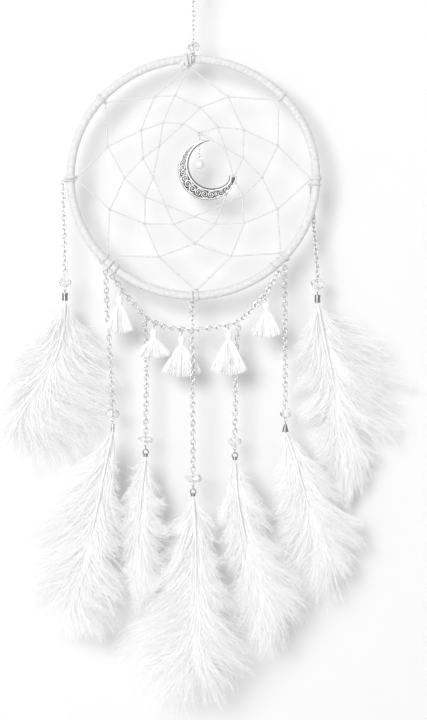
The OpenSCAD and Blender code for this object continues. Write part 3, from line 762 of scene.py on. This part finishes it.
def make_pearl():
    lo, hi = box_mm("pearl")
    middle, radius = (lo + hi) / 2, (hi[2] - lo[2]) / 2
    verts, faces = ball(middle, radius, 28, 40)
    rng = np.random.default_rng(SEEDS["pearl"])
    way = unit(verts - middle)
    lumps = np.zeros(len(verts))
    for f in (2, 3, 4, 6):
        high = rng.uniform(-PEARL_LUMP, PEARL_LUMP)
        lumps += high * np.sin(way @ unit(rng.normal(size=3)) * f + rng.uniform(0, 6))
    lumpy = verts + way * (lumps[:, None] - 0.04)
    piece("pearl_bead", (lumpy, faces), "pearl_white", "pearl_drop", ["pearl"])


# --- Tassels ---

LOOP_WIDE = 1.2  # radius of the loop that the tassel's ring goes through
HEAD_R = 2.1
HEAD_THREADS, HEAD_POINTS = 40, 12
HEAD_SQUASH = (1, 0.96, 1.12)
SKIRT_DEEP = 2.6  # half the skirt's depth
# The skirt's threads: how many, how thick, how near the skirt's sides they reach, and if only in front
SKIRT_LAYERS = ((420, 0.15, 0.97, False), (46, 0.27, 0.92, True))


def skirt_threads(rng, top, low, radius, points=9):
    """Threads from each point of top to its point of low, with a soft bend and some waver."""
    count = len(top)
    u = np.linspace(0, 1, points)
    length = np.linalg.norm(low - top, axis=1, keepdims=True)
    spread = unit((low - top) * [1, 1, 0]) * length
    upper = top - UP * 0.1 * length + 0.13 * spread
    lower = top + (low - top) * 0.62 + UP * 0.03 * length
    path = bezier(np.stack([top, upper, lower, low], 1), u)
    wave = np.sin(math.pi * u * rng.uniform(1, 2.4, size=(count, 1))) * u
    waver = rng.normal(size=(count, 1, 3)) * wave[..., None] * [0.38, 0.12, 0.1]
    thick = radius * np.broadcast_to(np.interp(u, [0, 0.9, 1], [1, 1, 0.7]), (count, points))
    return tubes(path + waver, thick, 5)


def make_tassel(k):
    node, rng = f"tassel_{k}", np.random.default_rng(SEEDS["tassel"] + k)
    lo, hi = box_mm(node)
    x = (lo[0] + hi[0]) / 2
    loop_y = box_centre(f"tassel_ring_{k}")[1]
    y = np.clip((lo[1] + hi[1]) / 2, lo[1] + SKIRT_DEEP, hi[1] - SKIRT_DEEP)
    if loop_y > y + 1.5:
        y = lo[1] + SKIRT_DEEP
    loop_at = np.array([x, loop_y, hi[2] - LOOP_WIDE - 0.3])
    head = np.array([x, y, loop_at[2] - LOOP_WIDE - 1.9])
    neck_z, hem_z = head[2] - 2.6, lo[2]
    half = (hi[0] - lo[0]) / 2
    loop = loop_at + ring_points(LOOP_WIDE, 24)
    closed = np.concatenate([loop, loop[:1]])
    parts = [twisted(closed, radius=0.36, pitch=1.4, sides=6, step=0.25)]
    for side in (-0.35, 0.35):
        stem = np.array([loop_at + [side, 0, -LOOP_WIDE], head + [side, 0, 1.2]])
        parts.append(twisted(stem, radius=0.42, pitch=1.4, sides=6, step=0.3))
    # Head: threads laid over the loop and drawn in at the neck
    a = np.linspace(0, 2 * math.pi, HEAD_THREADS, endpoint=False)
    lat = np.linspace(0.12, 0.93, HEAD_POINTS) * math.pi
    wide, deep, high = (HEAD_R * share for share in HEAD_SQUASH)
    arcs_x = np.outer(np.cos(a), np.sin(lat)) * wide
    arcs_y = np.outer(np.sin(a), np.sin(lat)) * deep
    arcs_z = np.broadcast_to(np.cos(lat) * high, (HEAD_THREADS, HEAD_POINTS))
    arcs = head + np.stack([arcs_x, arcs_y, arcs_z], -1)
    parts.append(tubes(arcs, np.full((HEAD_THREADS, HEAD_POINTS), 0.22), 5))
    parts.append(ball(head, HEAD_R * 0.93, 10, 16, HEAD_SQUASH))
    # Neck: five turns of thread
    neck = np.array([x, y, neck_z])
    turns = coil(neck, UP, radius=1.42, turns=5, spread=1.6, start=0.3)
    parts.append(twisted(turns, radius=0.27, pitch=1.2, sides=6, step=0.3))
    core = np.array([neck + [0, 0, 1.4], neck - [0, 0, 1.6]])
    parts.append(capped_tube(core, np.array([1.3, 1.35]), 14))
    # Skirt: fine threads that fan out evenly to the hem, and thicker ones over them
    for count, radius, reach, in_front in SKIRT_LAYERS:
        across = rng.uniform(-1, 1, count)
        across *= 1 - 0.1 * rng.random(count) * np.abs(across)
        deep = rng.uniform(-1, 1, count) * np.sqrt(1.02 - across**2)
        deep = -np.abs(deep) if in_front else deep
        top = neck + np.stack([1.15 * across, 1.05 * deep, np.full(count, -0.7)], -1)
        lift = 0.13 * (neck_z - hem_z) * across**2
        hem = hem_z + 0.2 + lift + rng.uniform(0, 1.2 + 0.4 * np.abs(across), count) ** 2
        low = np.stack([x + reach * half * across, y + (SKIRT_DEEP - radius) * 0.9 * deep, hem], -1)
        parts.append(skirt_threads(rng, top, low, radius))
    piece(f"tassel_threads_{k}", joined(parts), "tassel_cotton", f"tassel_{k}_drop", [node])


# --- Feathers ---

DOWN_DEEP = 2.6  # half the depth that the down fills
LOCKS = 15  # down each side of a feather
SHAFT_PROUD = 3.2  # how far the shaft's upper half stands in front of the down
SHAFT_RADII = [0.74, 0.5, 0.1]  # at its top, middle and tip
BELOW_SHAFT = 12  # down from the shaft's tip, until barbs gather on the outline's middle
NEAREST = 0.03  # least share of the feather's length from its top to a barb's tip
LOCK_PULL = 0.6  # how far a barb's tip is drawn to the middle of its lock
RAGGED = 0.36  # how far tips fall short of the outline
HANDLE = 0.38  # a barb's curve keeps its way at each end over this share of its length
LEAD_BARBS = 420
BARB_POINTS, DOWN_BARBS, DOWN_HAIRS, LEAD_HAIRS = 11, 1150, 28, 24


def level_rings(node, least_wide=0.0):
    """Corners in mm of each level ring of points in a lofted CAD node, from the top."""
    mesh, place = nodes[node].data, np.array(nodes[node].matrix_world)
    points = np.empty(3 * len(mesh.vertices))
    mesh.vertices.foreach_get("co", points)
    points = (points.reshape(-1, 3) @ place[:3, :3].T + place[:3, 3]) / MM
    points = points[np.argsort(-points[:, 2])]
    rings = np.split(points, np.flatnonzero(np.diff(points[:, 2]) < -0.05) + 1)
    corners = np.array([[ring.min(0), ring.max(0)] for ring in rings])
    return corners[corners[:, 1, 0] - corners[:, 0, 0] > least_wide]


HAIR_FOOT = 0.055  # half a barbule's width where it leaves its barb


def hairs(rng, path, per):
    """Barbules: short fine hairs off every barb, one triangle each."""
    count, points, _ = path.shape
    at = rng.uniform(0.1, 1.0, (count, per))
    low = np.minimum(np.floor(at * (points - 1)).astype(int), points - 2)
    part = (at * (points - 1) - low)[..., None]
    row = np.arange(count)[:, None]
    foot = path[row, low] * (1 - part) + path[row, low + 1] * part
    way = unit(path[row, low + 1] - path[row, low])
    sideways = unit(np.cross(way, AWAY)) * rng.choice([-1.0, 1.0], (count, per))[..., None]
    forward = way * rng.uniform(0.6, 1.6, (count, per, 1))
    hair = unit(forward + sideways + rng.normal(size=(count, per, 3)) * [0.3, 0.3, 0.3])
    fullness = np.interp(at, [0, 0.3, 1], [0.8, 1, 0.7])[..., None]
    tip = foot + hair * (rng.uniform(1.0, 3.4, (count, per, 1)) * fullness)
    corners = np.stack([foot - HAIR_FOOT * way, foot + HAIR_FOOT * way, tip], 2).reshape(-1, 3)
    return corners, [np.arange(len(corners)).reshape(-1, 3)]


def make_feather(letter):
    rng = np.random.default_rng(ord(letter))
    body = f"feather_{letter}"
    line = level_rings(f"quill_{letter}").mean(axis=1)
    outline = level_rings(f"plume_{letter}", 2.0)
    heights = outline[:, 0, 2]
    root = line[1]
    top, bottom = root[2] - 1, heights[-1]

    def depth(z):
        return np.interp(-z, -line[:, 2], line[:, 1])

    def edge(t, side):
        z = top + (bottom - top) * t
        left = np.interp(-z, -heights, outline[:, 0, 0])
        right = np.interp(-z, -heights, outline[:, 1, 0])
        return z, np.where(side > 0, right, left), (left + right) / 2

    # The shaft
    shaft = resample(line[1:], 1.0)
    share = np.linspace(0, 1, len(shaft))
    shown = shaft - np.outer(SHAFT_PROUD * (1 - smooth_step((share - 0.4) / 0.3)), AWAY)
    whole = np.concatenate([[line[0]], shown])
    whole[1:6, 1] = np.linspace(root[1], whole[6, 1], 5)
    shaft_r = np.interp(np.linspace(0, 1, len(whole)), [0, 0.5, 1], SHAFT_RADII)
    stalk = capped_tube(whole, shaft_r, 10)
    piece(f"shaft_{letter}", stalk, "quill_white", body, [f"quill_{letter}"])

    def barbs(count, forward, thick, fan):
        """Curved barbs from the shaft to the outline, drawn together in locks."""
        # Where each barb leaves the shaft
        s = np.sort(rng.beta(1.0, 0.92, count))
        side = rng.choice([-1.0, 1.0], count)
        base = np.stack([np.interp(s, share, shaft[:, k]) for k in range(3)], -1)
        slope = np.stack([np.interp(s, share, np.gradient(shaft[:, k])) for k in range(3)], -1)
        heading = unit(slope)
        outward = np.stack([side, 0 * s, 0 * s], -1)
        # How far down the feather its tip is, and the lock it joins
        shaft_share = (top - base[:, 2]) / (top - bottom)
        ahead = rng.uniform(0.07, 0.30, count) * (1.1 - 0.45 * s) + 0.02
        past_tip = (1 - shaft[-1, 2] / bottom) * s * 1.6 * rng.uniform(0.2, 1.0, count)
        t = np.clip(shaft_share + ahead + past_tip, NEAREST, 1.0)
        lock = np.floor(t * LOCKS + 0.4 * side)
        row = (lock + 2).astype(int) + np.where(side > 0, LOCKS + 5, 0)
        lock_of = rng.normal(size=(2 * LOCKS + 10, 4))[row]
        t = np.clip(t + LOCK_PULL * ((lock + 0.5 - 0.4 * side) / LOCKS - t), NEAREST, 1.0)
        # How near the outline the tip comes; many of the lower barbs end between the shaft and the outline
        reach = 1 - np.abs(rng.normal(size=count)) * RAGGED
        reach = np.clip(reach + 0.15 * lock_of[:, 0], 0.12, 1.08)
        middling = rng.random(count) < 0.7 * smooth_step((s - 0.5) / 0.4)
        reach = np.where(middling, rng.uniform(-0.15, 0.9, count), reach)
        z, edge_x, mid_x = edge(t, side)
        below = smooth_step((shaft[-1, 2] - z) / BELOW_SHAFT)
        centre_x = np.interp(-z, -shaft[:, 2], shaft[:, 0])
        centre_x = centre_x * (1 - below) + mid_x * below
        tips = np.stack([centre_x + (edge_x - centre_x) * reach, depth(z), z], -1)
        tips[:, 2] += rng.normal(size=count) * 2.0 + 3.0 * lock_of[:, 1] - 2.5 * (reach - 0.7)
        layer = np.clip(0.42 * rng.normal(size=count) + 0.3 * lock_of[:, 2], -1, 1)
        tips[:, 1] += forward + DOWN_DEEP * layer
        tips[:, 2] = np.maximum(tips[:, 2], bottom - 3)
        # The ways in which it leaves the shaft and comes to its tip, steeper towards the feather's end
        length = np.linalg.norm(tips - base, axis=1, keepdims=True)
        end = smooth_step((t - 0.6) / 0.4)[:, None]
        tip_way = unit(
            outward * (fan - 0.75 * fan * end)
            + -UP * (0.55 + 0.8 * end)
            + 0.34 * lock_of[:, 3:4] * UP
            + rng.normal(size=(count, 3)) * [0.24, 0.1, 0.24]
        )
        leave = unit(heading + outward * rng.uniform(0.25, 0.75, (count, 1)))
        upper, lower = base + leave * HANDLE * length, tips - tip_way * HANDLE * length
        u = np.linspace(0, 1, BARB_POINTS)
        path = bezier(np.stack([base, upper, lower, tips], 1), u)
        wave = (np.sin(2.3 * math.pi * u) * u)[None, :, None]
        path += rng.normal(size=(count, 1, 3)) * wave * [1.0, 0.4, 1.0]
        arch = np.sin(math.pi * u)[None, :, None]
        path += (forward + 1.1 * rng.normal(size=(count, 1, 1))) * arch * AWAY
        taper = np.interp(u, [0, 0.15, 1], [1.0, 1.0, 0.3])
        return path, thick * rng.uniform(0.75, 1.25, (count, 1)) * taper

    down, down_r = barbs(DOWN_BARBS, forward=0.3, thick=0.11, fan=0.8)
    lead, lead_r = barbs(LEAD_BARBS, forward=-1.3, thick=0.19, fan=0.95)
    under = joined([tubes(down, down_r, 3), hairs(rng, down, DOWN_HAIRS)])
    over = joined([tubes(lead, lead_r, 3), hairs(rng, lead, LEAD_HAIRS)])
    piece(f"plume_down_{letter}", under, "plume_white", body, [f"plume_{letter}"])
    # The front barbs take bright_down, which is painted light: whiter and glowing more than the down behind
    # them
    bright = piece(f"plume_lead_{letter}", over, "plume_white", body)
    bright.data.materials[0] = MATERIALS["bright_down"]


TASSELS = 5

make_camera()
make_stage()
make_lace()
make_web()
make_strand_loops()
make_lace_tails()
make_moon()
make_pearl()
make_chip("top_bead", "top_chain", SEEDS["top_chip"])
for number in range(1, TASSELS + 1):
    make_tassel(number)
for name in "abcdefg":
    make_chip(f"bead_{name}", f"strand_{name}", SEEDS["chip"] + ord(name))
    make_feather(name)
